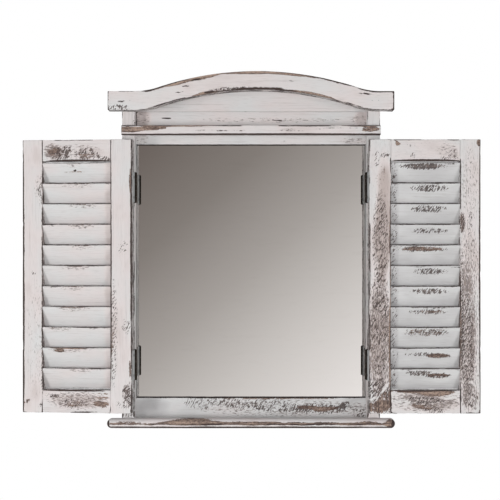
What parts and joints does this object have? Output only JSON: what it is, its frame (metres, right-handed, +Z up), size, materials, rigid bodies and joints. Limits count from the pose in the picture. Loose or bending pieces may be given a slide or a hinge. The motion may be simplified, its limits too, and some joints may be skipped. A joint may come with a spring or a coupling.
{
  "type": "shutter mirror",
  "caption": "Wall mirror framed like a small window under an arched cornice, with a sill and a pair of hinged louvred shutters that fold over the glass.",
  "frame": {"origin": "on the wall plane, midway between the round ends of the two keyhole hangers", "axes": "+X to the right seen from the front, +Y back into the wall, +Z up"},
  "size_m": [0.6768, 0.0576, 0.5285],
  "materials": {
    "painted_wood": "matt off-white paint rubbed through to brown wood along the edges",
    "painted_slat": "matt off-white paint, worn along the upper edges",
    "aged_bronze": "dark bronzed steel",
    "zinc_steel": "zinc plated",
    "silvered_glass": "plain silvered glass",
    "hardboard": "bare brown hardboard"
  },
  "bodies": {
    "case": {"left_post": "painted_wood", "right_post": "painted_wood", "sill_board": "painted_wood", "apron_board": "painted_wood", "frieze_board": "painted_wood", "pediment_board": "painted_wood", "cornice_board": "painted_wood", "cross_moulding": "painted_wood", "mirror_glass": "silvered_glass", "backing_board": "hardboard", "left_lower_post_leaf": "aged_bronze", "left_upper_post_leaf": "aged_bronze", "right_lower_post_leaf": "aged_bronze", "right_upper_post_leaf": "aged_bronze", "hinge_pins": "aged_bronze", "post_hinge_screws": "aged_bronze", "left_hanger": "zinc_steel", "right_hanger": "zinc_steel", "hanger_screws": "zinc_steel", "backing_pins": "zinc_steel", "glazing_points": "zinc_steel", "sill_screws": "zinc_steel", "cornice_brads": "zinc_steel", "moulding_brads": "zinc_steel"},
    "left_shutter": {"left_hinge_stile": "painted_wood", "left_free_stile": "painted_wood", "left_top_rail": "painted_wood", "left_bottom_rail": "painted_wood", "left_slat_01": "painted_slat", "left_slat_02": "painted_slat", "left_slat_03": "painted_slat", "left_slat_04": "painted_slat", "left_slat_05": "painted_slat", "left_slat_06": "painted_slat", "left_slat_07": "painted_slat", "left_slat_08": "painted_slat", "left_slat_09": "painted_slat", "left_slat_10": "painted_slat", "left_slat_11": "painted_slat", "left_lower_shutter_leaf": "aged_bronze", "left_upper_shutter_leaf": "aged_bronze", "left_shutter_screws": "aged_bronze"},
    "right_shutter": {"right_hinge_stile": "painted_wood", "right_free_stile": "painted_wood", "right_top_rail": "painted_wood", "right_bottom_rail": "painted_wood", "right_slat_01": "painted_slat", "right_slat_02": "painted_slat", "right_slat_03": "painted_slat", "right_slat_04": "painted_slat", "right_slat_05": "painted_slat", "right_slat_06": "painted_slat", "right_slat_07": "painted_slat", "right_slat_08": "painted_slat", "right_slat_09": "painted_slat", "right_slat_10": "painted_slat", "right_slat_11": "painted_slat", "right_lower_shutter_leaf": "aged_bronze", "right_upper_shutter_leaf": "aged_bronze", "right_shutter_screws": "aged_bronze"}
  },
  "joints": [
    {"name": "left_shutter_hinge", "type": "hinge", "parent": "case", "child": "left_shutter", "pos_m": [-0.1721, -0.0373, -0.245], "axis": [0, 0, 1], "range_deg": [-5, 185]},
    {"name": "right_shutter_hinge", "type": "hinge", "parent": "case", "child": "right_shutter", "pos_m": [0.1721, -0.0373, -0.245], "axis": [0, 0, -1], "range_deg": [-9, 181]}
  ]
}
